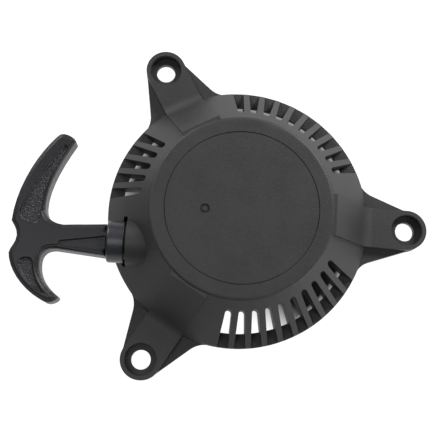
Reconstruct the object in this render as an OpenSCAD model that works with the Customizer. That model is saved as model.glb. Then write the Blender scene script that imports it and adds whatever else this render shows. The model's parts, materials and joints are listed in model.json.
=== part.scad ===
// Recoil starter for a small engine.
// Millimetres. The origin is on the reel's axis, in the plane of the mounting pads.
// +Z points away from the engine, and the rope leaves towards -X.

/* [Case] */
// Height of the drum's top above the mounting face
drum_h = 32; // [30:0.5:40]
// Radius of the drum's flat top
drum_top_r = 43; // [42:0.5:46]
// Outer radius of the rim
rim_r = 64; // [62:0.5:78]
// Height of the upright rim
rim_h = 6; // [5.5:0.5:12]
// Wall thickness of the shell
wall = 2.6; // [2:0.1:3.2]
// Inside radius of the reel chamber
chamber_r = 42; // [40:0.5:43]
// Height of the base ring under the vents
ledge_h = 5; // [3:0.5:5]
// Width of the base ring
ledge_w = 6.2; // [4:0.2:8]

/* [Vents] */
// Angle between neighbouring vents, degrees
vent_pitch = 7.32; // [7:0.05:8]
// Width of a vent at its inner end
vent_in_w = 3.1; // [2:0.1:3.4]
// Width of a vent at the rim
vent_out_w = 5.7; // [4:0.1:6]
// Radius of the vents' inner ends
vent_in_r = 47.3; // [46.5:0.1:49]
// Depth of the fins between the vents
fin_depth = 10; // [6:0.5:12]

/* [Ears] */
// Diameter of the circle through the ear bolts
ear_pcd = 167; // [160:0.5:200]
// Direction of the first ear, degrees
ear_phase = 116.2; // [110:0.1:120]
// Radius of an ear's round end
ear_r = 9.8; // [9:0.1:12]
// Thickness of an ear
ear_h = 8; // [6.5:0.1:12]
// Radius of an ear's bolt hole
ear_hole_r = 4.7; // [3:0.05:5]
// Radius of the recess for the bolt's flange
ear_recess_r = 7.8; // [6.5:0.1:8.2]
// Height of the recess floor
ear_floor_h = 3; // [2:0.1:5]
// Height of the thin flange beside each ear
flange_h = 4; // [2:0.1:6]
// Spread of that flange towards the rim, degrees
flange_spread = 20.5; // [12:0.5:26]
// Radius where the flange runs into the rim
flange_fillet_r = 12; // [8:0.5:16]
// Radius of the hollow fold from an ear's top to the cone
fold_r = 9; // [4:0.5:12]

/* [Rope outlet] */
// Direction in which the rope is pulled, degrees
pull_angle = 177.5; // [170:0.5:185]
// Distance from the reel's axis to the pull line
pull_offset = 17; // [14:0.5:20]
// Height of the rope above the mounting face
rope_z = 15; // [14:0.5:16]
// Radius of the rope guide's collar
collar_r = 10; // [9:0.1:11]
// Length of the collar
collar_l = 8.2; // [6:0.1:10]
// Radius of the guide's spigot
spigot_r = 6; // [5:0.1:7]
// Radius of the half-round boss behind the collar
boss_r = 11.3; // [10.5:0.1:12.5]

/* [Rope] */
// Diameter of the rope
rope_d = 3; // [2.6:0.1:3.2]
// Half turns of rope wound on the reel
rope_half_turns = 9; // [5:2:9]
// Distance between neighbouring turns
rope_pitch = 3.1; // [3.1:0.05:3.3]

/* [Reel] */
// Radius of the reel's core under the rope
core_r = 18; // [18:0.1:19]
// Radius of the reel's flanges
reel_r = 37; // [36:0.5:39]
// Thickness of a reel flange
reel_flange_t = 1.8; // [1.4:0.1:2]
// Radius of the post on which the reel turns
post_r = 7; // [6.5:0.1:7.2]
// Radial running clearance of the reel and ratchet guide
run_gap = 0.05; // [0.02:0.01:0.1]

/* [Recoil spring] */
// Width of the spring strip
spring_w = 7; // [5:0.1:7.2]
// Thickness of the spring strip
spring_t = 0.6; // [0.4:0.05:0.8]
// Half turns of the spring
spring_half_turns = 18; // [12:2:18]
// Outer radius of the steel spring case
spring_case_r = 33; // [33:0.5:34]

/* [Ratchet] */
// Distance from the axis to a pawl's pivot
pivot_r = 14; // [13.5:0.1:14.5]
// Length of a pawl from pivot to tip
pawl_l = 14; // [12:0.5:15]
// Thickness of a pawl
pawl_t = 3.2; // [2.5:0.1:3.4]
// Half the width of a pawl
pawl_half_w = 3; // [2.6:0.1:3]
// Angle between a pawl and the radius through its pivot, degrees
pawl_rest = 83; // [80:1:84]
// Radius of the ratchet guide's plate
guide_r = 17.5; // [17:0.1:18]

/* [Pull grip] */
// Thickness of the grip
grip_t = 14; // [12:0.5:16]
// Radius of the grip's rounded edges
grip_edge_r = 2.4; // [1:0.1:3]
// Depth of the grip's sunk panels
panel_depth = 1.2; // [0.6:0.1:1.6]
// Radius of the rope hole in the grip
grip_bore_r = 2; // [1.8:0.05:2.2]
// Distance from the collar to the rope seat
grip_seat_l = 31.6; // [28:0.2:34]

/* [Screw] */
// Radius of the screw's shank
screw_r = 2.45; // [2:0.05:2.8]
// Radius of the screw's head
screw_head_r = 4.6; // [4:0.1:5]
// Height of the screw's head
screw_head_h = 2.8; // [2:0.1:3]

/* [Hidden] */
$fn = 96;

eps = 0.01;
tall = 60;
gap = 0.4;

// Shell
cone_foot_r = rim_r - 1;
cone_slope = (drum_h - rim_h) / (cone_foot_r - drum_top_r);
cone_angle = atan(cone_slope);
cone_wall = wall / cos(cone_angle);
ceiling_z = drum_h - wall;
chamber_wall = 2.6;
chamber_skirt_z = 8;
ledge_r = rim_r - ledge_w;
shoulder_r = 2.5;
groove_r = 36.1;

// Vent groups: direction of the first vent's middle and the number of vents
vent_groups = [[24.2, 10], [263.2, 10], [140.6, 5]];

// Ears
ear_pos = ear_pcd / 2;
land_t = 0.7;

// Gate mark: the small ring left on the drum's top by moulding
gate_pos = [-17.2, -1];
gate_r = 2.3;
gate_w = 1.1;
gate_d = 0.9;

// Rope run, in the frame turned to the pull line
rope_r = rope_d / 2;
collar_gap = 1;
boss_s = sqrt(pow(rim_r, 2) - pow(pull_offset, 2)) - 8.5;
collar_s = boss_s + collar_gap;
grip_s = collar_s + collar_l;
spigot_s = sqrt(pow(chamber_r + 2.8, 2) - pow(pull_offset, 2));
guide_bore_r = rope_r + 0.5;
lead_bend_r = 7;
bend_s = spigot_s + 1;
reel_core_gap = 0.2;
wind_in_r = core_r + rope_r + reel_core_gap;
wind_out_r = wind_in_r + (rope_half_turns - 1) * rope_pitch / 2;
bend_dist = norm([bend_s, pull_offset]);
touch_angle = atan2(pull_offset, bend_s) + acos(wind_out_r / bend_dist);
wind_end_angle = pull_angle + touch_angle + 180 * rope_half_turns;
tail_r = 5;
tail_angle = 80;

// Reel
groove_w = rope_d + 1;
reel_lo = rope_z - groove_w / 2 - reel_flange_t;
reel_hi = rope_z + groove_w / 2 + reel_flange_t;
post_step_z = reel_lo + 0.3;
hub_r = 9.6;
knot_wrap_r = rope_r + 0.4;
knot_tail_h = 1.8 * rope_d - rope_r;
knot_roof_z = reel_hi - 1;
knot_z = knot_roof_z - 0.1 - knot_tail_h;
knot_pocket_r = knot_wrap_r + rope_r + 0.6;
knot_dist = 13.2;
knot_angle = wind_end_angle + 22.8;
pawl_phase = knot_angle + 90;

// Spring case and spring
case_plate_t = 0.6;
case_lo = reel_hi + 0.7;
strip_z = case_lo + case_plate_t + 0.9;
hub_top = ceiling_z - 0.8;
spring_out_r = spring_case_r - case_plate_t - spring_t / 2 - 0.4;
spring_in_r = hub_r + spring_t / 2 + 0.6;
spring_step = (spring_out_r - spring_in_r) / spring_half_turns;
hook_angle = 30;
hook_gap = spring_t + 0.3;

// Ratchet
boss_pin_r = 2;
boss_pin_clear = 0.06;
spring_pocket_r = 3.7;
spring_pocket_h = 2.4;
pawl_hi = reel_lo - gap;
pawl_lo = pawl_hi - pawl_t;
guide_hi = pawl_lo - 0.3;
guide_t = 1.8;
guide_lo = guide_hi - guide_t;
journal_r = post_r - 2;
journal_lo = guide_lo - 0.1;
nose_r = 1.9;
nose_dist = 14.6;
nose_angle = 51;
pawl_heel = 4;
pawl_open = 30;
washer_t = 1.1;
washer_r = 9;
screw_l = 12.5;
insert_r = screw_r + 1.05;
insert_l = 12;
friction_wire_r = 0.4;
pawl_wire_r = 0.15;

function arc(c, r, a0, a1, n) =
  [for (i = [0 : n]) c + r * [cos(a0 + (a1 - a0) * i / n), sin(a0 + (a1 - a0) * i / n)]];

function bez(p, n) =
  [for (i = [1 : n]) let (t = i / n, u = 1 - t)
    u * u * u * p[0] + 3 * u * u * t * p[1] + 3 * u * t * t * p[2] + t * t * t * p[3]];

function cone_z(r) = rim_h + (cone_foot_r - r) * cone_slope;

// A tube of round wire along points: one ring of sides points at each.
function side_of(v) = let (s = cross(v, [0.13, 0.21, 0.97])) s / norm(s);
function ring(p, dir, r, sides) =
  let (a = side_of(dir), b = cross(dir, a) / norm(dir))
  [for (k = [0 : sides - 1]) p + r * (cos(360 * k / sides) * a + sin(360 * k / sides) * b)];

module tube(path, r, sides) {
  last = len(path) - 1;
  rings = [for (i = [0 : last])
    ring(path[i], path[min(i + 1, last)] - path[max(i - 1, 0)], r, sides)];
  points = [for (each_ring = rings) for (p = each_ring) p];
  skin = [for (i = [0 : last - 1]) for (k = [0 : sides - 1])
    let (a = i * sides + k, b = i * sides + (k + 1) % sides)
    [a, b, b + sides, a + sides]];
  ends = [[for (k = [0 : sides - 1]) sides - 1 - k], [for (k = [0 : sides - 1]) last * sides + k]];
  polyhedron(points = points, faces = concat(skin, ends));
}

// ---- Case ----

module shell_outline() {
  top_edge = drum_top_r - shoulder_r * tan(cone_angle / 2);
  shoulder = arc([top_edge, drum_h - shoulder_r], shoulder_r, 90, 90 - cone_angle, 5);
  foot = arc([rim_r - 1.6, rim_h - 1.6 * tan(cone_angle / 2) - 0.25], 1.6, 90 - cone_angle, 0, 4);
  polygon(concat([[0, 0], [0, drum_h]], shoulder, foot, [[rim_r, 0]]));
}

module shell_outer() {
  rotate_extrude() shell_outline();
}

// The hollow under the shell: it leaves the base ring and the wall round the reel chamber.
module shell_inner() {
  step = 0.1;
  knee_r = min(rim_r - wall, cone_foot_r - (ledge_h + step + cone_wall - rim_h) / cone_slope);
  wall_out = chamber_r + chamber_wall;
  rotate_extrude()
    polygon([[0, -1], [ledge_r, -1], [ledge_r, ledge_h], [knee_r, ledge_h],
      [knee_r, cone_z(knee_r) - cone_wall], [wall_out, cone_z(wall_out) - cone_wall],
      [wall_out, chamber_skirt_z], [chamber_r, chamber_skirt_z], [chamber_r, ceiling_z],
      [0, ceiling_z]]);
}

// The outer shape drawn in by less than a wall, to trim what is joined from inside.
module shell_core() {
  inset = 1.2;
  rotate_extrude()
    polygon([[0, 0], [0, drum_h - inset], [drum_top_r - inset, drum_h - inset],
      [cone_foot_r - inset, rim_h], [rim_r - inset, rim_h - inset], [rim_r - inset, 0]]);
}

module ring_wall(r_in, r_out, lo, hi) {
  translate([0, 0, lo]) difference() {
    cylinder(r = r_out, h = hi - lo);
    translate([0, 0, -1]) cylinder(r = r_in, h = hi - lo + 2);
  }
}

module fin_band(start, sweep) {
  root_r = chamber_r + chamber_wall / 2;
  sunk = 1;
  rotate([0, 0, start]) rotate_extrude(angle = sweep)
    polygon([[root_r, cone_z(root_r) - fin_depth], [ledge_r, ledge_h - sunk],
      [rim_r - sunk, ledge_h - sunk], [rim_r - sunk, cone_z(rim_r - sunk) - sunk],
      [root_r, cone_z(root_r) - sunk]]);
}

module vent_cut() {
  end_r = vent_in_w / 2;
  far_r = rim_r + 2;
  translate([0, 0, ledge_h]) linear_extrude(tall) {
    translate([vent_in_r + end_r, 0]) circle(r = end_r, $fn = 48);
    polygon([[vent_in_r + end_r, -end_r], [far_r, -vent_out_w / 2], [far_r, vent_out_w / 2],
      [vent_in_r + end_r, end_r]]);
  }
}

// One side of the thin flange: a straight edge off the ear, then a hollow curve into the rim.
// Both run a hair inside the round faces that they meet.
module ear_flange_side() {
  lap = 0.2;
  touch = 90 - flange_spread;
  out = [sin(flange_spread), cos(flange_spread)];
  along = [cos(flange_spread), -sin(flange_spread)];
  tip = [ear_pos, 0] + (ear_r - lap) * [cos(touch), sin(touch)];
  reach = tip * out + flange_fillet_r;
  centre_dist = rim_r + flange_fillet_r - lap;
  centre = reach * out + sqrt(pow(centre_dist, 2) - pow(reach, 2)) * along;
  difference() {
    polygon([[rim_r - wall / 2, 0], centre * (rim_r - wall / 2) / centre_dist, centre,
      centre - flange_fillet_r * out, tip, [ear_pos, 0]]);
    translate(centre) circle(r = flange_fillet_r);
  }
}

// The ear's own block and the flat band that carries its top face up the cone to the drum.
module ear_block() {
  rise = land_t / cos(cone_angle);
  foot_x = cone_foot_r + (rise + rim_h - ear_h) / cone_slope;
  top_z = drum_h - 0.8;
  top_x = cone_foot_r - (top_z - rim_h - rise) / cone_slope;
  sunk = 2;
  side = ear_r + 1;
  fold_x = foot_x + fold_r * tan(cone_angle / 2);
  fold = arc([fold_x, ear_h + fold_r], fold_r, -90, -90 - cone_angle, 8);
  intersection() {
    linear_extrude(tall) {
      translate([ear_pos, 0]) circle(r = ear_r);
      translate([30, -ear_r]) square([ear_pos - 30, 2 * ear_r]);
    }
    translate([0, side, 0]) rotate([90, 0, 0]) linear_extrude(2 * side)
      polygon(concat([[rim_r - wall / 2, 0], [ear_pos + side, 0], [ear_pos + side, ear_h]], fold,
        [[top_x, top_z], [top_x - sunk, top_z], [top_x - sunk, cone_z(top_x - sunk) - sunk],
          [rim_r - wall / 2, cone_z(rim_r - wall / 2) - sunk]]));
  }
}

module ear_body() {
  ear_block();
  linear_extrude(flange_h) for (side = [0, 1]) mirror([0, side]) ear_flange_side();
}

module ear_cuts() {
  core_out = 3;
  translate([ear_pos, 0, -1]) cylinder(r = ear_hole_r, h = tall);
  translate([ear_pos, 0, ear_floor_h]) cylinder(r = ear_recess_r, h = tall);
  translate([rim_r + core_out - 2, -ear_r + core_out, -1])
    cube([ear_pos - rim_r - ear_recess_r - core_out - 1, 2 * (ear_r - core_out), ear_h - wall + 1]);
}

// Turns its children to the pull line: +X runs outwards along the rope.
module on_pull_line(s = 0) {
  rotate([0, 0, pull_angle]) translate([s, pull_offset, rope_z]) children();
}

module along_x(r, h) {
  rotate([0, 90, 0]) cylinder(r = r, h = h);
}

module outlet_body() {
  pocket_wall = 2.4;
  intersection() {
    on_pull_line(spigot_s) along_x(collar_r + gap + pocket_wall, boss_s - spigot_s + 6);
    shell_core();
  }
  on_pull_line(spigot_s) along_x(boss_r, boss_s - spigot_s + 1);
}

module outlet_cuts() {
  on_pull_line(boss_s) along_x(collar_r + gap, 40);
  on_pull_line(boss_s) along_x(boss_r + 1, 2 * collar_gap);
  on_pull_line(spigot_s - 12) along_x(spigot_r, boss_s - spigot_s + 13);
}

module post() {
  translate([0, 0, post_step_z]) cylinder(r = post_r, h = ceiling_z - reel_lo);
  translate([0, 0, journal_lo]) cylinder(r = journal_r, h = reel_lo + 1 - journal_lo);
}

module post_cuts() {
  translate([0, 0, journal_lo - 1]) cylinder(r = insert_r, h = insert_l + 1);
  translate([0, 0, journal_lo]) cylinder(r = screw_r + 0.15, h = screw_l + 3);
}

module starter_case() {
  color("#3c3c3e") difference() {
    union() {
      difference() {
        shell_outer();
        shell_inner();
      }
      for (g = vent_groups) fin_band(g[0] - vent_pitch / 2, vent_pitch * g[1]);
      ring_wall(spring_case_r + 0.1, spring_case_r + 2.3, case_lo + 1.5, ceiling_z + wall / 2);
      outlet_body();
      post();
      for (i = [0 : 2]) rotate([0, 0, ear_phase + 120 * i]) ear_body();
    }
    for (g = vent_groups) for (i = [0 : g[1] - 1]) rotate([0, 0, g[0] + vent_pitch * i]) vent_cut();
    for (i = [0 : 2]) rotate([0, 0, ear_phase + 120 * i]) ear_cuts();
    outlet_cuts();
    post_cuts();
    ring_wall(groove_r - 0.25, groove_r + 0.25, drum_h - 0.4, drum_h + 1);
    translate(gate_pos) ring_wall(gate_r - gate_w, gate_r, drum_h - gate_d, drum_h + 1);
    rotate([0, 0, hook_angle]) translate([spring_case_r - 1, -hook_gap, case_lo])
      cube([2.2, 2 * hook_gap, spring_w + 2]);
  }
}

// ---- Rope and its guide ----

module rope_guide() {
  nest_depth = 2;
  nest_r = 8;
  edge = 1.2;
  flare_r = 2;
  back = boss_s - spigot_s;
  color("#47474c") on_pull_line(spigot_s) rotate([0, 90, 0]) rotate_extrude()
    polygon(concat(
      [[guide_bore_r + flare_r, 0], [spigot_r, 0], [spigot_r, back], [collar_r - 1.5, back],
        [collar_r - 1.5, back + collar_gap], [collar_r, back + collar_gap]],
      arc([collar_r - edge, back + collar_gap + collar_l - edge], edge, 0, 90, 5),
      [[nest_r, back + collar_gap + collar_l],
        [nest_r, back + collar_gap + collar_l - nest_depth],
        [guide_bore_r + 1, back + collar_gap + collar_l - nest_depth],
        [guide_bore_r, back + collar_gap + collar_l - nest_depth - 1]],
      arc([guide_bore_r + flare_r, flare_r], flare_r, 180, 270, 5)));
}

module rope_rod(s0, s1) {
  on_pull_line(s0) along_x(rope_r, s1 - s0);
}

// Rope from the grip to the winding: straight in the guide, a bend at its mouth, then tangent.
module rope_lead() {
  turn = 90 - touch_angle;
  set = lead_bend_r * tan(turn / 2);
  run = sqrt(pow(bend_dist, 2) - pow(wind_out_r, 2)) - 0.1;
  bend = arc([set, lead_bend_r], lead_bend_r, -90, -90 - turn, 4);
  path = concat([[grip_s - bend_s, 0], [(grip_s - bend_s) / 2, 0]], bend,
    [run / 2 * [-cos(turn), sin(turn)], run * [-cos(turn), sin(turn)]]);
  color("#d8d4c8") on_pull_line(bend_s) tube([for (p = path) [p[0], p[1], 0]], rope_r, 12);
}

// Half turns about two centres make a spiral whose ends meet squarely.
function half_turns(count, r_out, step, start, dir, steps) =
  [for (k = [0 : count - 1]) for (i = [0 : k == count - 1 ? steps : steps - 1])
    let (a = start + dir * 180 * (k + i / steps), shift = k % 2 == 0 ? 0 : step)
    (r_out - k * step) * [cos(a), sin(a)] + shift * [cos(start + 180), sin(start + 180)]];

module rope_winding() {
  start = pull_angle + touch_angle;
  out = [cos(start), sin(start)];
  lead_in = 0.3;
  first = wind_out_r * out + lead_in * [-out[1], out[0]];
  turns = half_turns(rope_half_turns, wind_out_r, rope_pitch / 2, start, 1, 12);
  tail_c = (wind_in_r - tail_r) * [cos(wind_end_angle), sin(wind_end_angle)];
  tail = arc(tail_c, tail_r, wind_end_angle, wind_end_angle + tail_angle, 4);
  path = concat([wind_out_r * out, first], [for (i = [1 : len(turns) - 1]) turns[i]],
    [for (i = [1 : 4]) tail[i]]);
  color("#d8d4c8") translate([0, 0, rope_z]) tube([for (p = path) [p[0], p[1], 0]], rope_r, 8);
}

// The rope's inner end turns in through the core.
module rope_tail(r, sweep) {
  rotate([0, 0, wind_end_angle]) translate([wind_in_r - tail_r, 0, rope_z])
    rotate_extrude(angle = sweep) translate([tail_r, 0]) circle(r = r, $fn = 32);
}

module knot() {
  for (k = [0, 1]) translate([0, 0, k * rope_d * 0.8])
    rotate_extrude() translate([knot_wrap_r, 0]) circle(r = rope_r, $fn = 32);
  translate([0, 0, -rope_r]) cylinder(r = knot_wrap_r, h = knot_tail_h + rope_r);
}

module reel_knot() {
  color("#d8d4c8") rotate([0, 0, knot_angle]) translate([knot_dist, 0, knot_z]) knot();
}

module grip_knot() {
  color("#d8d4c8") on_pull_line(grip_s + grip_seat_l + 1 + rope_r) rotate([0, 90, 0]) knot();
}

module rope_in_grip() {
  color("#d8d4c8") rope_rod(grip_s, grip_s + grip_seat_l + 1);
}

module grip_washer() {
  color("#b9bcc0") on_pull_line(grip_s + grip_seat_l) difference() {
    along_x(4.3, 1);
    translate([-1, 0, 0]) along_x(rope_r + 0.15, 3);
  }
}

// ---- Pull grip ----

// Outline, with x along the pull line from the collar and y across it.
module grip_plan() {
  tip_up = [18, -47];
  tip_low = [20.6, 27.7];
  polygon(concat(
    [[0.2, -7.5]],
    bez([[18, -6.1], [25.3, -5.8], [29.5, -8.5], [29.7, -14.5]], 7),
    bez([[29.7, -14.5], [30, -24], [24.5, -36], tip_up], 7),
    bez([tip_up, [18.6, -49], [24.6, -52], [26.8, -49]], 6),
    bez([[26.8, -49], [36.3, -39], [44.4, -22], [45, -6.7]], 9),
    bez([[45, -6.7], [43.6, -4.5], [42.1, -3], [42, 0.3]], 4),
    bez([[42, 0.3], [42, 4], [44.6, 5.5], [45, 8.6]], 4),
    bez([[45, 8.6], [44.2, 17], [36.5, 26.5], [26, 30.8]], 9),
    bez([[26, 30.8], [24, 31.6], [19.5, 29.3], tip_low], 5),
    bez([tip_low, [28, 22.8], [30.2, 17.5], [30.3, 13]], 7),
    bez([[30.3, 13], [30.5, 7.5], [27.8, 5.6], [23.5, 5.6]], 7),
    [[0.2, 7.8]]));
}

module grip_panels() {
  polygon(concat(
    [[22.6, -44.5]],
    bez([[22.6, -44.5], [31, -34], [38.5, -20], [41, -11.5]], 8),
    bez([[41, -11.5], [41, -6.8], [37.5, -5.6], [34.2, -5.8]], 5),
    bez([[34.2, -5.8], [31.2, -6.3], [31, -10], [31, -14.5]], 5),
    bez([[31, -14.5], [31.3, -23.6], [26, -35.2], [21.3, -43.4]], 8)));
  polygon(concat(
    [[39.8, 13.5]],
    bez([[39.8, 13.5], [37.5, 21], [32, 25], [26.3, 27.3]], 7),
    bez([[26.3, 27.3], [30, 23.5], [33, 18], [33, 13]], 6),
    bez([[33, 13], [33.5, 9.5], [39.5, 9.5], [39.8, 13.5]], 6)));
  polygon([[0.3, -1.4], [21.8, 1.9], [21.8, 4.2], [0.3, 6]]);
}

module grip_slab(inset, t) {
  translate([0, 0, -t / 2]) linear_extrude(t) offset(delta = -inset) grip_plan();
}

module pull_grip() {
  steps = 3;
  pocket_l = 20;
  color("#2b2c2e") on_pull_line(grip_s) difference() {
    union() {
      for (i = [0 : steps]) let (a = 90 * i / (steps + 0.6))
        grip_slab(grip_edge_r * (1 - cos(a)), grip_t - 2 * grip_edge_r * (1 - sin(a)));
      translate([-1.6, 0, 0]) along_x(7.2, 6);
    }
    for (side = [0, 1]) mirror([0, 0, side])
      translate([0, 0, grip_t / 2 - panel_depth]) linear_extrude(5) grip_panels();
    translate([-3, 0, 0]) along_x(grip_bore_r, 60);
    translate([grip_seat_l, 0, 0]) along_x(4.4, pocket_l);
  }
}

// ---- Reel and spring ----

module rope_reel() {
  color("#d9d6cc") difference() {
    union() {
      translate([0, 0, reel_lo]) cylinder(r = reel_r, h = reel_flange_t);
      translate([0, 0, reel_hi - reel_flange_t]) cylinder(r = reel_r, h = reel_flange_t);
      translate([0, 0, reel_lo]) cylinder(r = core_r, h = reel_hi - reel_lo);
      translate([0, 0, reel_lo]) cylinder(r = hub_r, h = hub_top - reel_lo);
      for (i = [0, 1]) rotate([0, 0, pawl_phase + 180 * i]) pawl_stop();
    }
    translate([0, 0, reel_lo - 1]) cylinder(r = post_r + run_gap, h = tall);
    rotate([0, 0, knot_angle]) translate([knot_dist, 0, reel_lo - 1])
      cylinder(r = knot_pocket_r, h = knot_roof_z - reel_lo + 1);
    rope_tail(rope_r + 0.2, 90);
    for (i = [0, 1]) rotate([0, 0, pawl_phase + 180 * i]) translate([pivot_r, 0, 0]) {
      translate([0, 0, reel_lo - 1]) ring_wall(boss_pin_r, spring_pocket_r, 0, spring_pocket_h + 1);
    }
    rotate([0, 0, hook_angle]) translate([hub_r - 1.4, -hook_gap, strip_z - 0.5])
      cube([3, 2 * hook_gap, spring_w + 3]);
  }
  color("#d9d6cc") for (i = [0, 1]) rotate([0, 0, pawl_phase + 180 * i])
    translate([pivot_r, 0, pawl_lo]) cylinder(r = boss_pin_r, h = reel_lo - pawl_lo + 0.5);
}

module pawl_stop() {
  open = pawl_open - pawl_rest;
  away = pawl_heel + nose_r + gap / 2;
  translate([pivot_r + 6 * cos(open) - away * sin(open), 6 * sin(open) + away * cos(open), pawl_lo])
    cylinder(r = nose_r, h = reel_lo - pawl_lo + 0.5);
}

module spring_case() {
  color("#9fa3a8") difference() {
    ring_wall(hub_r + 0.8, spring_case_r, case_lo, ceiling_z);
    translate([0, 0, case_lo + case_plate_t]) cylinder(r = spring_case_r - case_plate_t, h = tall);
    rotate([0, 0, hook_angle]) translate([spring_case_r - 2, -hook_gap, strip_z - 0.5])
      cube([4, 2 * hook_gap, spring_w + 1]);
  }
}

module recoil_spring() {
  half_t = spring_t / 2;
  hook = [cos(hook_angle), sin(hook_angle)];
  side = spring_t * [-sin(hook_angle), cos(hook_angle)];
  case_end = (spring_case_r + 0.8) * hook;
  hub_end = (hub_r - 1.1) * hook;
  inner = half_turns(spring_half_turns, spring_out_r - half_t, spring_step, hook_angle, -1, 10);
  outer = half_turns(spring_half_turns, spring_out_r + half_t, spring_step, hook_angle, -1, 10);
  last = len(inner) - 1;
  color("#6d7278") translate([0, 0, strip_z]) linear_extrude(spring_w) polygon(concat(
    [case_end], [for (i = [0 : last - 1]) inner[i]],
    [(spring_in_r - half_t) * hook + side, hub_end + side, hub_end],
    [for (i = [0 : last - 1]) outer[last - i]],
    [(spring_out_r + half_t) * hook - side, case_end - side]));
}

// ---- Ratchet ----

module post_insert() {
  color("#b08d4a") ring_wall(screw_r + run_gap, insert_r, journal_lo, journal_lo + insert_l);
}

module friction_spring() {
  turns = 3;
  per_turn = 16;
  lo = guide_hi + friction_wire_r;
  hi = post_step_z - friction_wire_r;
  mean_r = (journal_r + post_r) / 2;
  color("#8a8f94") tube([for (i = [0 : turns * per_turn]) let (a = 360 * i / per_turn)
    [mean_r * cos(a), mean_r * sin(a), lo + (hi - lo) * i / (turns * per_turn)]],
    friction_wire_r, 6);
}

module ratchet_guide() {
  color("#5a5d60") {
    ring_wall(journal_r + run_gap, guide_r, guide_lo, guide_hi);
    for (i = [0, 1]) rotate([0, 0, pawl_phase + 180 * i - nose_angle])
      translate([nose_dist, 0, guide_hi - eps]) cylinder(r = nose_r, h = pawl_t + 0.3);
  }
}

module ratchet_pawl(i) {
  tip_w = 1.6;
  color("#8d9094") rotate([0, 0, pawl_phase + 180 * i]) translate([pivot_r, 0, pawl_lo])
    rotate([0, 0, -pawl_rest]) difference() {
      linear_extrude(pawl_t) {
        circle(r = pawl_heel);
        polygon([[0, -pawl_heel], [pawl_l - 3, -pawl_half_w], [pawl_l, -tip_w], [pawl_l, pawl_half_w],
          [0, pawl_heel]]);
      }
      translate([0, 0, -1]) cylinder(r = boss_pin_r + boss_pin_clear, h = tall);
    }
}

module ratchet_pawl_1() { ratchet_pawl(0); }
module ratchet_pawl_2() { ratchet_pawl(1); }

module pawl_spring(i) {
  turns = 2.5;
  per_turn = 12;
  mean_r = boss_pin_r + 0.8;
  count = turns * per_turn;
  lo = reel_lo - gap / 2;
  rise = spring_pocket_h - 0.3;
  coil = [for (k = [0 : count]) let (a = 360 * k / per_turn)
    [mean_r * cos(a), mean_r * sin(a), lo + rise * k / count]];
  color("#8a8f94") rotate([0, 0, pawl_phase + 180 * i]) translate([pivot_r, 0, 0])
    tube(concat([[mean_r, -6, lo], [mean_r, -2, lo]], coil), pawl_wire_r, 6);
}

module pawl_spring_1() { pawl_spring(0); }
module pawl_spring_2() { pawl_spring(1); }

module thrust_washer() {
  color("#b9bcc0") ring_wall(screw_r + 0.3, washer_r, journal_lo - washer_t, journal_lo);
}

module centre_screw() {
  seat = journal_lo - washer_t;
  color("#b9bcc0") difference() {
    union() {
      translate([0, 0, seat - screw_head_h]) cylinder(r = screw_head_r, h = screw_head_h);
      translate([0, 0, seat - eps]) cylinder(r = screw_r, h = screw_l);
    }
    translate([0, 0, seat - screw_head_h - 1]) cylinder(r = 2.3, h = 2.8, $fn = 6);
  }
}

starter_case();
rope_guide();
pull_grip();
grip_washer();
grip_knot();
rope_in_grip();
rope_lead();
rope_winding();
reel_knot();
rope_reel();
spring_case();
recoil_spring();
post_insert();
friction_spring();
ratchet_guide();
ratchet_pawl_1();
ratchet_pawl_2();
pawl_spring_1();
pawl_spring_2();
thrust_washer();
centre_screw();
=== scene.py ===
import json
import math

import bpy
from mathutils import Euler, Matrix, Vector

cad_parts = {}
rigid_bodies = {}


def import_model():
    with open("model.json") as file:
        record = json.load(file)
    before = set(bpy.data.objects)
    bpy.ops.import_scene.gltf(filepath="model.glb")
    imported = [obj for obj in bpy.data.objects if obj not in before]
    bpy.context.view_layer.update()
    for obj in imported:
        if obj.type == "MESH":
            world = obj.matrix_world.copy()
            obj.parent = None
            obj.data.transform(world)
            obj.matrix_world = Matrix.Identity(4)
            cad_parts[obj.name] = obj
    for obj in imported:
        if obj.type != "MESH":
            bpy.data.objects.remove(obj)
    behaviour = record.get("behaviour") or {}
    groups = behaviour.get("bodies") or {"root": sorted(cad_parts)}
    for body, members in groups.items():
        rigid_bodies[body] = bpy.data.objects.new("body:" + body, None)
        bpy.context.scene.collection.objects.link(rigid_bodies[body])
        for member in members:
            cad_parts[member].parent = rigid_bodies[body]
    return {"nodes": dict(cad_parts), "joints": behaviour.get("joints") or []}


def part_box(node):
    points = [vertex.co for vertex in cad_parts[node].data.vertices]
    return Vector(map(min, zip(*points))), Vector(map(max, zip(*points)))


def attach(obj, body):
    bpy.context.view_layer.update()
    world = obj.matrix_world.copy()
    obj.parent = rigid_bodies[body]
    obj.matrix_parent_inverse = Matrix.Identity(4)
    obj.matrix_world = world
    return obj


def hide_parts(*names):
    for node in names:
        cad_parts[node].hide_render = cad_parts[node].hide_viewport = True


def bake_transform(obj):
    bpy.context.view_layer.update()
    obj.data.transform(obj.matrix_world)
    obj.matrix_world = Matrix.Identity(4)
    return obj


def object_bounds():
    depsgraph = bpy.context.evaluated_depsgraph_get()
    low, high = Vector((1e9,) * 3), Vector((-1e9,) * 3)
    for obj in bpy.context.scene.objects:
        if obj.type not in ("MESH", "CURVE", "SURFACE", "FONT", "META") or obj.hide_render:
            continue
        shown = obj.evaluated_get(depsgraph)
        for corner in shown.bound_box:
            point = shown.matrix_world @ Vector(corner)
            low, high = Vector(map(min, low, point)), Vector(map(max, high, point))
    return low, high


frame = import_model()
CAD_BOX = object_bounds()

bl_info = {
    "name": "Recoil Starter Looks",
    "version": (1, 0, 0),
    "blender": (4, 5, 0),
    "location": "View3D > Sidebar > Starter",
    "description": "Models the visible pieces of a recoil starter round its packed frame",
    "category": "Object",
}

MM = 0.001

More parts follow.
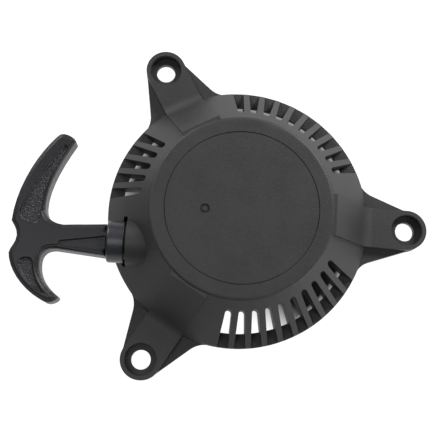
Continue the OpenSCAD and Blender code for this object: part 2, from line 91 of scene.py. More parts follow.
# How copies of the CAD nodes are cleaned and shaded, with angles in degrees.
MERGE = 0.002 * MM  # corners nearer than this become one
FLAT_WITHIN = 1.5  # faces that meet at less than this become one flat face
ROUND_ABOVE = 28.0  # edges sharper than this are rounded
SHADE_AS_ONE = 38.0  # rounded faces that meet at less than this shade as one surface
LARGE_FACES_LEAD = 60  # how strongly large faces set the shading of the small ones beside them

# The rope's run.
ROPE_SLACK = 0.99  # the lead and the winding are drawn this much thinner, clear of their bores
TIP_WIDTH, TIP_LENGTH = 0.55, 0.4  # a melted end against the rope's radius
GUIDE_INSET = 1 * MM  # the rope bends this far outside the guide's inner end
GUIDE_BEND = 7 * MM  # radius of that bend
REEL_STEPS, BEND_STEPS, PULL_STEPS = 12, 9, 60  # along the lead, from the reel to the grip
LEAD_SIDES, WOUND_SIDES, KNOT_SIDES = 16, 12, 14  # faces round each piece of rope
INNERMOST_TURN = 19.7 * MM  # radius of the winding's last turn, against the reel's core
WOUND_TURNS, WOUND_STEPS = 4.5, 216
KNOT_RADIUS = 1.85 * MM
KNOT_TURNS, KNOT_STEPS = 2.1, 56
KNOT_OPENS, KNOT_CLOSES = 0.08, 0.10  # shares of a knot's length over which its wraps do so

# The stage, in metres and watts. Each light has its name, place, power and width.
LIGHTS = (
    ("key", (0.44, 0.46, 0.42), 5.6, 0.34),
    ("upper_left", (-0.40, 0.52, 0.38), 3.2, 0.30),
    ("lower_right", (0.50, -0.34, 0.26), 2.0, 0.26),
    ("overhead", (-0.25, -0.10, 0.75), 1.4, 0.40),
    ("below", (-0.15, -0.20, -0.60), 2.0, 0.50),
)
LIGHTS_AIM = (0.0, 0.0, 0.01)
SKY_COLOUR, SKY_STRENGTH = (0.9, 0.95, 1.0, 1.0), 0.16
# The floor's glow is painted light. Where it stays off under the case, the floor is painted dark as
# a painted shadow, so the vents show painted light on one side and painted shade elsewhere.
FLOOR_WIDTH, FLOOR_GAP = 30.0, 0.2 * MM
GLOW_SIDE = (-0.6, -0.8)  # the side from which the floor's glow reaches in under the case
GLOW_STARTS, GLOW_FULL = 16 * MM, 38 * MM  # from the reel's axis towards that side
RING_STARTS, RING_FULL = 55 * MM, 63 * MM  # and from the axis in every direction
SENSOR = 36.0  # width of the camera's sensor, in millimetres


def srgb(code):
    """A colour's sRGB hex value as linear red, green and blue."""
    shares = [int(code[i : i + 2], 16) / 255 for i in (1, 3, 5)]
    return tuple(s / 12.92 if s <= 0.04045 else ((s + 0.055) / 1.055) ** 2.4 for s in shares)


# ---- Where things lie, from the frame ----

UP = Vector((0, 0, 1))
PULL = Vector(next(j["axis"] for j in frame["joints"] if j["name"] == "handle_pull")).normalized()
ACROSS = UP.cross(PULL)


def middle(node):
    """The middle of a CAD node's box."""
    low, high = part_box(node)
    return (low + high) / 2


def reach(node, direction):
    """The least and greatest distance of a CAD node along a direction."""
    steps = [v.co.dot(direction) for v in frame["nodes"][node].data.vertices]
    return min(steps), max(steps)


def girth(node):
    """The greatest distance of a CAD node from the reel's axis."""
    return max(v.co.to_2d().length for v in frame["nodes"][node].data.vertices)


def on_pull_line(along, across=0.0):
    """A point on the line that the rope is pulled along, or beside it."""
    line = middle("rope_in_grip")
    return PULL * along + ACROSS * (line.dot(ACROSS) + across) + Vector((0, 0, line.z))


def guide_bend():
    """How far out the rope bends at the guide, and how far its line passes from the reel's axis."""
    return reach("rope_guide", PULL)[0] + GUIDE_INSET, middle("rope_in_grip").dot(ACROSS)


# ---- Sizes and colours a user would change ----


class StarterLooks(bpy.types.PropertyGroup):
    """Sizes and colours of the starter's visible pieces."""

    edge: bpy.props.FloatProperty(
        name="Case edges", description="Radius of the case's moulded edges",
        default=0.32 * MM, min=0.1 * MM, max=0.6 * MM, unit="LENGTH")
    grip_grain: bpy.props.FloatProperty(
        name="Grip mesh", description="Size of the grip's mesh cells before smoothing",
        default=0.32 * MM, min=0.3 * MM, max=0.8 * MM, unit="LENGTH")
    rope_across: bpy.props.FloatProperty(
        name="Rope", description="Diameter of the braided rope",
        default=3 * MM, min=2 * MM, max=4 * MM, unit="LENGTH")
    case_colour: bpy.props.FloatVectorProperty(
        name="Case", description="Colour of the case's moulded nylon",
        default=srgb("#262626"), size=3, min=0, max=1, subtype="COLOR")
    grip_colour: bpy.props.FloatVectorProperty(
        name="Grip", description="Colour of the grip's moulded polypropylene",
        default=srgb("#161619"), size=3, min=0, max=1, subtype="COLOR")
    guide_colour: bpy.props.FloatVectorProperty(
        name="Rope guide", description="Colour of the rope guide's moulded acetal",
        default=srgb("#242429"), size=3, min=0, max=1, subtype="COLOR")
    reel_colour: bpy.props.FloatVectorProperty(
        name="Reel", description="Colour of the reel's natural nylon",
        default=srgb("#d9d6cc"), size=3, min=0, max=1, subtype="COLOR")
    rope_colour: bpy.props.FloatVectorProperty(
        name="Rope colour", description="Colour of the rope's nylon yarn",
        default=srgb("#d6d2c6"), size=3, min=0, max=1, subtype="COLOR")
    camera_place: bpy.props.FloatVectorProperty(
        name="Camera place", description="Where the camera stands",
        default=(-27.91 * MM, -81.69 * MM, 417.08 * MM), size=3,
        subtype="TRANSLATION", unit="LENGTH")
    camera_turn: bpy.props.FloatVectorProperty(
        name="Camera turn", description="How the camera is turned from looking straight down",
        default=tuple(math.radians(a) for a in (10.764, -2.948, 0.263)), size=3,
        subtype="EULER")
    camera_lens: bpy.props.FloatProperty(
        name="Lens", description="Focal length on a 36 mm sensor, in millimetres",
        default=68.49, min=20, max=200)


def looks():
    """The sizes and colours as they are set now."""
    return bpy.context.scene.starter_looks


# ---- Modelling helpers ----


def select_nothing():
    for other in bpy.context.scene.objects:
        other.select_set(False)


def alone(piece):
    """Makes piece the only selected object, and the active one."""
    select_nothing()
    piece.select_set(True)
    bpy.context.view_layer.objects.active = piece


def apply_all(piece):
    """Applies all of a piece's modifiers."""
    alone(piece)
    for modifier in list(piece.modifiers):
        bpy.ops.object.modifier_apply(modifier=modifier.name)


def copy_of(node, name, flat=FLAT_WITHIN):
    """A piece that starts from a CAD node's shape, its loose triangles merged into clean faces."""
    piece = bpy.data.objects.new(name, frame["nodes"][node].data.copy())
    piece.data.name = name
    piece.data.materials.clear()
    bpy.context.scene.collection.objects.link(piece)
    alone(piece)
    bpy.ops.object.mode_set(mode="EDIT")
    bpy.ops.mesh.select_all(action="SELECT")
    bpy.ops.mesh.customdata_custom_splitnormals_clear()
    bpy.ops.mesh.remove_doubles(threshold=MERGE)
    if flat:
        bpy.ops.mesh.dissolve_limited(angle_limit=math.radians(flat))
    bpy.ops.object.mode_set(mode="OBJECT")
    return piece


def round_edges(piece, width, steps):
    """Rounds a piece's sharp edges, as a mould or a press does, and evens its shading out."""
    bevel = piece.modifiers.new("edges", "BEVEL")
    bevel.width, bevel.segments = width, steps
    bevel.limit_method, bevel.angle_limit = "ANGLE", math.radians(ROUND_ABOVE)
    bevel.use_clamp_overlap = True
    apply_all(piece)
    smooth(piece, SHADE_AS_ONE)
    even = piece.modifiers.new("even", "WEIGHTED_NORMAL")
    even.mode, even.keep_sharp, even.weight = "FACE_AREA", True, LARGE_FACES_LEAD
    apply_all(piece)


def smooth(piece, angle):
    """Shades faces that meet at less than an angle as one surface."""
    alone(piece)
    bpy.ops.object.shade_smooth_by_angle(angle=math.radians(angle))


def finish_piece(piece, body, nodes, material):
    """Gives a piece its material, the body that carries it and the CAD nodes it stands for."""
    piece.data.materials.clear()
    piece.data.materials.append(material)
    if body:
        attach(piece, body)
    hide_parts(*nodes)


def rounded_piece(node, name, body, material, edge, steps=2):
    """A rigid piece that keeps a CAD node's shape and gets rounded edges."""
    piece = copy_of(node, name)
    round_edges(piece, edge, steps)
    finish_piece(piece, body, [node], material)


def wire_piece(node, name, body, material, angle, flat):
    """A spring that keeps a CAD node's shape and is shaded round."""
    piece = copy_of(node, name, flat)
    smooth(piece, angle)
    finish_piece(piece, body, [node], material)


def ring_frames(path):
    """Two directions square to a path at each of its points, carried along without twist."""
    side, frames = None, []
    for i in range(len(path)):
        run = (path[min(i + 1, len(path) - 1)] - path[max(i - 1, 0)]).normalized()
        if side is None:
            side = run.orthogonal().normalized()
        side = (side - run * side.dot(run)).normalized()
        frames.append((side, run.cross(side)))
    return frames


def rope_rings(path, radius):
    """Each ring of a rope as its place, its frame, its radius and its distance along the path.
    Both ends close in over a short, softly melted tip."""
    along = [0.0]
    for here, there in zip(path, path[1:]):
        along.append(along[-1] + (there - here).length)
    run_in, run_out = (path[1] - path[0]).normalized(), (path[-1] - path[-2]).normalized()
    tip = TIP_LENGTH * radius
    places = [path[0] + run_in * tip, *path[1:-1], path[-1] - run_out * tip]
    frames = ring_frames(path)
    rings = [(p, f, radius, s) for p, f, s in zip(places, frames, along)]
    first = (path[0], frames[0], TIP_WIDTH * radius, along[0])
    last = (path[-1], frames[-1], TIP_WIDTH * radius, along[-1])
    return [first, *rings, last]


def rope_tube(name, path, radius, sides):
    """A round rope along a path. Its UV map runs once round it, and in metres along it."""
    rings = rope_rings(path, radius)
    verts, faces = [], []
    for place, (side, other), r, _ in rings:
        for k in range(sides):
            turn = 2 * math.pi * k / sides
            verts.append(place + (side * math.cos(turn) + other * math.sin(turn)) * r)
    for low in range(0, (len(rings) - 1) * sides, sides):
        for k in range(sides):
            n = (k + 1) % sides
            faces.append((low + k, low + n, low + sides + n, low + sides + k))
    last = (len(rings) - 1) * sides
    faces.append(tuple(range(sides - 1, -1, -1)))
    faces.append(tuple(range(last, last + sides)))
    mesh = bpy.data.meshes.new(name)
    mesh.from_pydata([tuple(v) for v in verts], [], faces)
    uv = mesh.uv_layers.new(name="UVMap")
    for face in mesh.polygons:
        at_seam = any(v % sides == sides - 1 for v in face.vertices)
        for loop in face.loop_indices:
            i, k = divmod(mesh.loops[loop].vertex_index, sides)
            around = sides if at_seam and k == 0 else k
            uv.data[loop].uv = (around / sides, rings[i][3])
    piece = bpy.data.objects.new(name, mesh)
    bpy.context.scene.collection.objects.link(piece)
    smooth(piece, angle=50)
    return piece


# ---- Materials ----


def put(tree, kind, sockets=None, **settings):
    """Adds one shader node with its settings, and sets or links its sockets."""
    node = tree.nodes.new("ShaderNode" + kind)
    for key, value in settings.items():
        setattr(node, key, value)
    for key, value in (sockets or {}).items():
        if isinstance(value, bpy.types.NodeSocket):
            tree.links.new(value, node.inputs[key])
        else:
            node.inputs[key].default_value = value
    return node


def blank(name):
    """A new material with its node tree and its shader."""
    material = bpy.data.materials.new(name)
    material.use_nodes = True
    return material, material.node_tree, material.node_tree.nodes["Principled BSDF"]


def shade(colour, factor=1.0):
    """A linear colour made lighter or darker, as a shader takes it."""
    return tuple(min(1.0, c * factor) for c in colour) + (1.0,)


def moulded_plastic(name, colour, rough, gloss, grain, depth):
    """Injection-moulded plastic from a spark-eroded mould: an even, fine grain that breaks up the
    highlights, with faint cloudy patches of about 14 mm where the melt flowed."""
    material, tree, shader = blank(name)
    place = put(tree, "TexCoord").outputs["Object"]
    fine = put(tree, "TexNoise", {
        "Vector": place, "Scale": 1 / grain, "Detail": 3.0, "Roughness": 0.62})
    clouds = put(tree, "TexNoise", {
        "Vector": place, "Scale": 1 / (14 * MM), "Detail": 2.0, "Roughness": 0.5})
    both = put(tree, "Mix", {"Factor": 0.4, "A": fine.outputs["Fac"], "B": clouds.outputs["Fac"]})
    tint = put(tree, "ValToRGB", {"Fac": both.outputs["Result"]})
    dark, light = tint.color_ramp.elements
    dark.position, light.position = 0.34, 0.68
    dark.color, light.color = shade(colour, 0.80), shade(colour, 1.20)
    sheen = put(tree, "MapRange", {
        "Value": both.outputs["Result"], "From Min": 0.3, "From Max": 0.7,
        "To Min": rough - 0.05, "To Max": rough + 0.07})
    bump = put(tree, "Bump", {"Height": fine.outputs["Fac"], "Strength": 1.0, "Distance": depth})
    tree.links.new(tint.outputs["Color"], shader.inputs["Base Color"])
    tree.links.new(sheen.outputs["Result"], shader.inputs["Roughness"])
    tree.links.new(bump.outputs["Normal"], shader.inputs["Normal"])
    shader.inputs["Specular IOR Level"].default_value = gloss
    return material


def case_nylon():
    """Black glass-filled nylon, moulded: dull satin, with the mould's fine grain. The real grain
    of 0.2 mm is too fine to show, so it is drawn at 0.9 mm."""
    return moulded_plastic(
        "moulded glass-filled nylon", looks().case_colour,
        rough=0.52, gloss=0.40, grain=0.9 * MM, depth=0.09 * MM)


def guide_acetal():
    """Dark acetal, moulded smooth: slightly waxy, with a clear soft highlight on its round side."""
    return moulded_plastic(
        "moulded acetal", looks().guide_colour,
        rough=0.34, gloss=0.5, grain=1.6 * MM, depth=0.006 * MM)


def grip_polypropylene():
    """Black polypropylene, moulded: satin rims, and coarse stipple of 0.75 mm on the arms' sunk
    panels, whose crowns are painted paler as a painted highlight."""
    material = moulded_plastic(
        "moulded polypropylene", looks().grip_colour,
        rough=0.40, gloss=0.38, grain=1.1 * MM, depth=0.006 * MM)
    tree = material.node_tree
    shader = tree.nodes["Principled BSDF"]
    place = put(tree, "TexCoord").outputs["Object"]
    # The panels are sunk below the rims on both sides of the grip, and face straight up or down.
    low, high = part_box("pull_grip")
    rim = (high.z - low.z) / 2
    height = put(tree, "SeparateXYZ", {"Vector": place}).outputs["Z"]
    away = put(tree, "Math", {0: height, 1: middle("pull_grip").z}, operation="SUBTRACT").outputs[0]
    depth = put(tree, "Math", {0: away}, operation="ABSOLUTE").outputs[0]
    sunk = put(tree, "MapRange", {
        "Value": depth, "From Min": rim - 1.15 * MM, "From Max": rim - 0.75 * MM,
        "To Min": 1.0, "To Max": 0.0}).outputs[0]
    normal = put(tree, "NewGeometry").outputs["Normal"]
    upright = put(tree, "SeparateXYZ", {"Vector": normal}).outputs["Z"]
    level = put(tree, "Math", {0: upright}, operation="ABSOLUTE").outputs[0]
    flat = put(tree, "MapRange", {"Value": level, "From Min": 0.93, "From Max": 0.99}).outputs[0]
    panels = put(tree, "Math", {0: sunk, 1: flat}, operation="MULTIPLY").outputs[0]
    # The arms start this far out from the stem's end.
    start = reach("pull_grip", PULL)[0] + 24 * MM
    out = put(tree, "VectorMath", {0: place, 1: tuple(PULL)}, operation="DOT_PRODUCT")
    arms = put(tree, "MapRange", {
        "Value": out.outputs["Value"], "From Min": start, "From Max": start + 2 * MM}).outputs[0]
    dots = put(tree, "TexVoronoi", {"Vector": place, "Scale": 1 / (0.75 * MM)})
    crown = put(tree, "MapRange", {
        "Value": dots.outputs["Distance"], "From Min": 0.55, "From Max": 0.1}).outputs[0]
    mask = put(tree, "Math", {0: panels, 1: arms}, operation="MULTIPLY").outputs[0]
    raised = put(tree, "Math", {0: crown, 1: mask}, operation="MULTIPLY").outputs[0]
    bump = put(tree, "Bump", {
        "Height": raised, "Strength": 1.0, "Distance": 0.18 * MM,
        "Normal": shader.inputs["Normal"].links[0].from_socket})
    tree.links.new(bump.outputs["Normal"], shader.inputs["Normal"])
    plain = shader.inputs["Base Color"].links[0].from_socket
    # Painted highlight: the stipple's crowns are mixed towards a colour four and a half times paler
    # than the grip.
    streaks_and_painted_highlight = put(tree, "Mix", {"Factor": raised}, data_type="RGBA")
    tree.links.new(plain, streaks_and_painted_highlight.inputs["A"])
    streaks_and_painted_highlight.inputs["B"].default_value = shade(looks().grip_colour, 4.5)
    tree.links.new(streaks_and_painted_highlight.outputs["Result"], shader.inputs["Base Color"])
    return material


def reel_nylon():
    """Natural nylon, moulded: ivory and slightly translucent, so its shadows stay soft."""
    material = moulded_plastic(
        "moulded natural nylon", looks().reel_colour,
        rough=0.42, gloss=0.5, grain=1.2 * MM, depth=0.006 * MM)
    shader = material.node_tree.nodes["Principled BSDF"]
    shader.inputs["Subsurface Weight"].default_value = 0.15
    shader.inputs["Subsurface Radius"].default_value = (1.2 * MM, 1.0 * MM, 0.8 * MM)
    return material


def braided_nylon():
    """Braided nylon cord: twelve yarns, six each way, cross in small diamonds. Their crowns keep
    the yarn's own colour and are painted darker as painted shade where they dive, and a yarn comes
    back to its place every 2.6 mm."""
    material, tree, shader = blank("braided nylon")
    spot = put(tree, "SeparateXYZ", {"Vector": put(tree, "UVMap", uv_map="UVMap").outputs["UV"]})
    around = put(tree, "Math", {0: spot.outputs["X"], 1: 6.0}, operation="MULTIPLY").outputs[0]
    along = put(tree, "Math", {
        0: spot.outputs["Y"], 1: 1 / (2.6 * MM)}, operation="MULTIPLY").outputs[0]
    waves = []
    for way in ("ADD", "SUBTRACT"):
        mixed = put(tree, "Math", {0: around, 1: along}, operation=way).outputs[0]
        turned = put(tree, "Math", {0: mixed, 1: math.pi}, operation="MULTIPLY").outputs[0]
        wave = put(tree, "Math", {0: turned}, operation="SINE").outputs[0]
        waves.append(put(tree, "Math", {0: wave}, operation="ABSOLUTE").outputs[0])
    crown = put(tree, "Math", {0: waves[0], 1: waves[1]}, operation="MULTIPLY").outputs[0]
    # Painted shade: the yarns are painted down to about a third of their colour where they dive
    # between each other.
    tint = put(tree, "ValToRGB", {"Fac": crown})
    dark, light = tint.color_ramp.elements
    dark.color, light.color = shade(looks().rope_colour, 0.35), shade(looks().rope_colour)
    light.position = 0.45
    bump = put(tree, "Bump", {"Height": crown, "Strength": 0.8, "Distance": 0.25 * MM})
    tree.links.new(tint.outputs["Color"], shader.inputs["Base Color"])
    tree.links.new(bump.outputs["Normal"], shader.inputs["Normal"])
    shader.inputs["Roughness"].default_value = 0.72
    shader.inputs["Sheen Weight"].default_value = 0.25
    return material


def worked_metal(name, colour, rough, streak, depth):
    """Metal with a fine worked surface: streaks in its roughness and tint catch the light."""
    material, tree, shader = blank(name)
    place = put(tree, "TexCoord").outputs["Object"]
    drawn = put(tree, "Mapping", {"Vector": place, "Scale": (1.0, 1.0, 0.15)})
    grain = put(tree, "TexNoise", {
        "Vector": drawn.outputs["Vector"], "Scale": 1 / streak, "Detail": 4.0, "Roughness": 0.6})
    tint = put(tree, "ValToRGB", {"Fac": grain.outputs["Fac"]})
    dark, light = tint.color_ramp.elements
    dark.color, light.color = shade(srgb(colour), 0.78), shade(srgb(colour), 1.12)
    streaks_and_painted_highlight = put(tree, "MapRange", {
        "Value": grain.outputs["Fac"], "To Min": rough - 0.10, "To Max": rough + 0.12})
    bump = put(tree, "Bump", {"Height": grain.outputs["Fac"], "Strength": 1.0, "Distance": depth})
    tree.links.new(tint.outputs["Color"], shader.inputs["Base Color"])
    tree.links.new(streaks_and_painted_highlight.outputs["Result"], shader.inputs["Roughness"])
    tree.links.new(bump.outputs["Normal"], shader.inputs["Normal"])
    shader.inputs["Metallic"].default_value = 1.0
    return material


def zinc_plate():
    """Pressed steel, bright zinc plated: pale grey with a faint cloudy bloom."""
    return worked_metal(
        "zinc plated steel", "#b9bcc0", rough=0.36, streak=1.5 * MM, depth=0.004 * MM)


def sintered_steel():
    """Sintered steel: dull dark grey with tiny pores."""
    return worked_metal(
        "sintered steel", "#8a8c90", rough=0.48, streak=0.6 * MM, depth=0.02 * MM)


def blued_steel():
    """Hardened strip and wire, blued by heat: dark blue-grey with a smooth sheen."""
    return worked_metal(
        "blued spring steel", "#5c6370", rough=0.30, streak=1.0 * MM, depth=0.003 * MM)


def turned_brass():
    """Brass turned from bar: warm yellow with fine cutting rings."""
    return worked_metal(
        "turned brass", "#c9a45a", rough=0.30, streak=0.5 * MM, depth=0.003 * MM)


# ---- Operators, one for each piece or group of like pieces ----


class STARTER_OT_case(bpy.types.Operator):
    """Model the vented case with rounded moulded edges"""

    bl_idname = "starter.case"
    bl_label = "Case"

    def execute(self, context):
        rounded_piece(
            "starter_case", "case", "housing", case_nylon(), edge=looks().edge)
        return {"FINISHED"}


class STARTER_OT_rope_guide(bpy.types.Operator):
    """Model the collar that guides the rope out of the case"""

    bl_idname = "starter.rope_guide"
    bl_label = "Rope guide"

    def execute(self, context):
        rounded_piece(
            "rope_guide", "guide_collar", "housing", guide_acetal(),
            edge=0.3 * MM, steps=3)
        return {"FINISHED"}


class STARTER_OT_grip(bpy.types.Operator):
    """Model the curved pull grip with its sunk panels and the washer that the rope pulls on"""

    bl_idname = "starter.grip"
    bl_label = "Pull grip"

    def execute(self, context):
        grip = copy_of("pull_grip", "grip", flat=0)
        grip.data.remesh_voxel_size = looks().grip_grain
        alone(grip)
        bpy.ops.object.voxel_remesh()
        # This takes the steps of the mesh cells out of the curved sides.
        soft = grip.modifiers.new("soft", "SMOOTH")
        soft.factor, soft.iterations = 0.5, 4
        apply_all(grip)
        smooth(grip, angle=180)
        finish_piece(grip, "handle", ["pull_grip"], grip_polypropylene())
        rounded_piece(
            "grip_washer", "washer_in_grip", "handle", zinc_plate(),
            edge=0.15 * MM)
        return {"FINISHED"}


class STARTER_OT_rope(bpy.types.Operator):
    """Model the braided rope, its winding on the reel and its two knots"""

    bl_idname = "starter.rope"
    bl_label = "Rope"

    def lead(self, radius):
        """The rope from the winding's edge round the guide's bend and straight out into the grip.
        It is laid out flat, with the bend at 0 and the pull along x, and then put in place."""
        bend_s, offset = guide_bend()
        straight = reach("rope_in_grip", PULL)[1] - bend_s
        wound = girth("rope_winding") - radius
        gap = math.hypot(bend_s, offset)
        run = math.sqrt(gap * gap - wound * wound)
        turn = math.pi / 2 - math.atan2(offset, bend_s) - math.acos(wound / gap)
        cut = GUIDE_BEND * math.tan(turn / 2)
        inwards = Vector((-math.cos(turn), math.sin(turn)))
        path = [inwards * run * k / REEL_STEPS for k in range(REEL_STEPS, 0, -1)
                if run * k / REEL_STEPS > cut]
        for k in range(BEND_STEPS, -1, -1):
            a = -math.pi / 2 - turn * k / BEND_STEPS
            path.append(Vector((
                cut + GUIDE_BEND * math.cos(a), GUIDE_BEND + GUIDE_BEND * math.sin(a))))
        path += [Vector((cut + (straight - cut) * k / PULL_STEPS, 0))
                 for k in range(1, PULL_STEPS + 1)]
        return [on_pull_line(bend_s + p.x, p.y) for p in path]

    def winding(self, radius):
        """The turns on the reel, as a flat spiral from the outside in."""
        outer, height = girth("rope_winding") - radius, middle("rope_winding").z
        bend_s, offset = guide_bend()
        start = math.atan2(PULL.y, PULL.x) + math.atan2(offset, bend_s)
        start += math.acos(outer / math.hypot(bend_s, offset))
        path = []
        for k in range(WOUND_STEPS + 1):
            share = k / WOUND_STEPS
            r = outer + (INNERMOST_TURN - outer) * share
            a = start + 2 * math.pi * WOUND_TURNS * share
            path.append(Vector((r * math.cos(a), r * math.sin(a), height)))
        return path

    def knot(self, name, node, axis, body, radius, braid):
        """Two wraps of rope drawn tight round its own end."""
        low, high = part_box(node)
        centre = middle(node)
        side = axis.orthogonal().normalized()
        other = axis.cross(side)
        length = max((high - low).dot(Vector([abs(c) for c in axis])), 4 * radius)
        path = []
        for k in range(KNOT_STEPS + 1):
            share = k / KNOT_STEPS
            a = 2 * math.pi * KNOT_TURNS * share
            r = KNOT_RADIUS * min(1.0, share / KNOT_OPENS, (1 - share) / KNOT_CLOSES + 0.1)
            rise = (share - 0.5) * (length - 2 * radius)
            path.append(centre + side * r * math.cos(a) + other * r * math.sin(a) + axis * rise)
        finish_piece(rope_tube(name, path, radius, KNOT_SIDES), body, [node], braid)

    def execute(self, context):
        radius = looks().rope_across / 2
        drawn = radius * ROPE_SLACK
        braid = braided_nylon()
        lead = rope_tube("pull_rope", self.lead(drawn), drawn, LEAD_SIDES)
        finish_piece(lead, None, ["rope_lead", "rope_in_grip"], braid)
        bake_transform(lead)
        wound = rope_tube("wound_rope", self.winding(radius), drawn, WOUND_SIDES)
        finish_piece(wound, "reel", ["rope_winding"], braid)
        self.knot("knot_in_grip", "grip_knot", PULL, "handle", radius, braid)
        self.knot("knot_in_reel", "reel_knot", UP, "reel", radius, braid)
        return {"FINISHED"}


class STARTER_OT_reel(bpy.types.Operator):
    """Model the rope reel"""

    bl_idname = "starter.reel"
    bl_label = "Reel"

    def execute(self, context):
        rounded_piece(
            "rope_reel", "reel", "reel", reel_nylon(), edge=0.25 * MM)
        return {"FINISHED"}


class STARTER_OT_springs(bpy.types.Operator):
    """Model the recoil spring, its steel case, the friction spring and the pawl springs"""

    bl_idname = "starter.springs"
    bl_label = "Springs"

    def execute(self, context):
        steel = blued_steel()
        rounded_piece(
            "spring_case", "spring_cup", "housing", zinc_plate(),
            edge=0.12 * MM)
        wire_piece("recoil_spring", "spring_strip", "housing", steel, angle=40, flat=FLAT_WITHIN)
        wire_piece("friction_spring", "brake_spring", "housing", steel, angle=75, flat=0)
        for i in (1, 2):
            wire_piece(f"pawl_spring_{i}", f"pawl_wire_{i}", "reel", steel, angle=75, flat=0)
        return {"FINISHED"}


class STARTER_OT_ratchet(bpy.types.Operator):
    """Model the ratchet guide and the two pawls"""

    bl_idname = "starter.ratchet"
    bl_label = "Ratchet"

    def execute(self, context):
        rounded_piece(
            "ratchet_guide", "ratchet_plate", "ratchet", zinc_plate(),
            edge=0.25 * MM)
        sinter = sintered_steel()
        for i in (1, 2):
            rounded_piece(
                f"ratchet_pawl_{i}", f"pawl_arm_{i}", f"pawl_{i}", sinter,
                edge=0.3 * MM)
        return {"FINISHED"}


class STARTER_OT_screw(bpy.types.Operator):
    """Model the centre screw, its washer and the brass insert"""

    bl_idname = "starter.screw"
    bl_label = "Screw and insert"

    def execute(self, context):
        plate = zinc_plate()
        rounded_piece(
            "thrust_washer", "thrust_disc", "housing", plate, edge=0.2 * MM)
        rounded_piece(
            "centre_screw", "socket_screw", "housing", plate, edge=0.3 * MM)
        rounded_piece(
            "post_insert", "brass_bush", "housing", turned_brass(), edge=0.15 * MM)
        return {"FINISHED"}


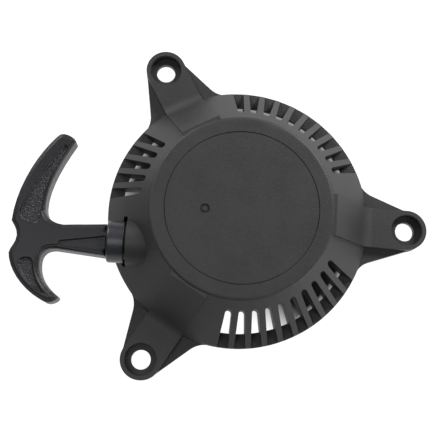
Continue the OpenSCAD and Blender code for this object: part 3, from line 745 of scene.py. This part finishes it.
class STARTER_OT_stage(bpy.types.Operator):
    """Set out the pale floor, the soft lights and the camera"""

    bl_idname = "starter.stage"
    bl_label = "Stage"

    def light(self, name, place, power, width):
        """A soft round light, aimed at the starter."""
        lamp = bpy.data.lights.new(name, "AREA")
        lamp.energy, lamp.size, lamp.shape = power, width, "DISK"
        holder = bpy.data.objects.new(name, lamp)
        holder.location = place
        aim = Vector(LIGHTS_AIM) - Vector(place)
        holder.rotation_euler = aim.to_track_quat("-Z", "Y").to_euler()
        bpy.context.scene.collection.objects.link(holder)

    def seen_from_above(self, tree):
        """Solid from above and clear from below, to leave the starter's open underside in view."""
        behind = put(tree, "NewGeometry").outputs["Backfacing"]
        return put(tree, "Math", {0: 1.0, 1: behind}, operation="SUBTRACT").outputs[0]

    def glow_and_painted_shadow(self, tree):
        """The floor's glow, painted light: full round the starter, and under the case only on one
        side;
        under the rest of the case the floor is left dark as a painted shadow.
        """
        spot = put(tree, "SeparateXYZ", {"Vector": put(tree, "TexCoord").outputs["Object"]})
        x, y = spot.outputs["X"], spot.outputs["Y"]
        part = put(tree, "Math", {0: x, 1: GLOW_SIDE[0]}, operation="MULTIPLY").outputs[0]
        slope = put(tree, "Math", {
            0: y, 1: GLOW_SIDE[1], 2: part}, operation="MULTIPLY_ADD").outputs[0]
        lit = put(tree, "MapRange", {
            "Value": slope, "From Min": GLOW_STARTS, "From Max": GLOW_FULL},
            interpolation_type="SMOOTHSTEP").outputs[0]
        flat = put(tree, "CombineXYZ", {"X": x, "Y": y}).outputs[0]
        away = put(tree, "VectorMath", {0: flat}, operation="LENGTH").outputs["Value"]
        outside = put(tree, "MapRange", {
            "Value": away, "From Min": RING_STARTS, "From Max": RING_FULL}).outputs[0]
        return put(tree, "Math", {0: lit, 1: outside}, operation="MAXIMUM").outputs[0]

    def white_sweep(self):
        """Matt white paper: almost even, with a faint mottle, and made to glow so it reads white,
        with a painted shadow where the glow stays off under the case.
        """
        paper, tree, shader = blank("white sweep")
        place = put(tree, "TexCoord").outputs["Object"]
        mottle = put(tree, "TexNoise", {"Vector": place, "Scale": 2.0})
        tint = put(tree, "ValToRGB", {"Fac": mottle.outputs["Fac"]})
        dark, light = tint.color_ramp.elements
        dark.color, light.color = shade(srgb("#606060")), shade(srgb("#646464"))
        tree.links.new(tint.outputs["Color"], shader.inputs["Base Color"])
        shader.inputs["Roughness"].default_value = 0.9
        tree.links.new(self.seen_from_above(tree), shader.inputs["Alpha"])
        # Painted light and shadow: the paper glows round the starter and on one side under the
        # case, and stays dark as a painted shadow under the rest of the case.
        tree.links.new(self.glow_and_painted_shadow(tree), shader.inputs["Emission Strength"])
        shader.inputs["Emission Color"].default_value = (1.0, 1.0, 1.0, 1.0)
        return paper

    def execute(self, context):
        select_nothing()
        bpy.ops.mesh.primitive_plane_add(
            size=FLOOR_WIDTH, location=(0, 0, CAD_BOX[0].z - FLOOR_GAP))
        floor = context.active_object
        floor.name = "pale_floor"
        bpy.ops.object.transform_apply(location=True, rotation=True, scale=True)
        floor.data.materials.append(self.white_sweep())

        for row in LIGHTS:
            self.light(*row)
        world = bpy.data.worlds.new("studio")
        context.scene.world = world
        world.use_nodes = True
        sky = world.node_tree.nodes["Background"].inputs
        sky["Color"].default_value, sky["Strength"].default_value = SKY_COLOUR, SKY_STRENGTH

        lens = bpy.data.cameras.new("camera")
        lens.lens, lens.sensor_width = looks().camera_lens, SENSOR
        lens.clip_start, lens.clip_end = 0.01, 60.0
        camera = bpy.data.objects.new("camera", lens)
        camera.location = looks().camera_place
        camera.rotation_euler = Euler(looks().camera_turn)
        context.scene.collection.objects.link(camera)
        context.scene.camera = camera
        context.scene.view_settings.view_transform = "Standard"
        return {"FINISHED"}


class STARTER_PT_panel(bpy.types.Panel):
    """Lists the starter's pieces and their sizes"""

    bl_idname = "STARTER_PT_panel"
    bl_label = "Recoil starter"
    bl_space_type = "VIEW_3D"
    bl_region_type = "UI"
    bl_category = "Starter"

    def draw(self, context):
        for name in StarterLooks.__annotations__:
            self.layout.prop(context.scene.starter_looks, name)
        for operator in OPERATORS:
            self.layout.operator(operator.bl_idname)


OPERATORS = (
    STARTER_OT_case, STARTER_OT_rope_guide, STARTER_OT_grip, STARTER_OT_rope, STARTER_OT_reel,
    STARTER_OT_springs, STARTER_OT_ratchet, STARTER_OT_screw, STARTER_OT_stage,
)
CLASSES = (StarterLooks, *OPERATORS, STARTER_PT_panel)


def register():
    for cls in CLASSES:
        bpy.utils.register_class(cls)
    bpy.types.Scene.starter_looks = bpy.props.PointerProperty(type=StarterLooks)


def unregister():
    del bpy.types.Scene.starter_looks
    for cls in reversed(CLASSES):
        bpy.utils.unregister_class(cls)


def main():
    register()
    bpy.ops.starter.case()
    bpy.ops.starter.rope_guide()
    bpy.ops.starter.grip()
    bpy.ops.starter.rope()
    bpy.ops.starter.reel()
    bpy.ops.starter.springs()
    bpy.ops.starter.ratchet()
    bpy.ops.starter.screw()
    bpy.ops.starter.stage()


if __name__ == "__main__":
    main()
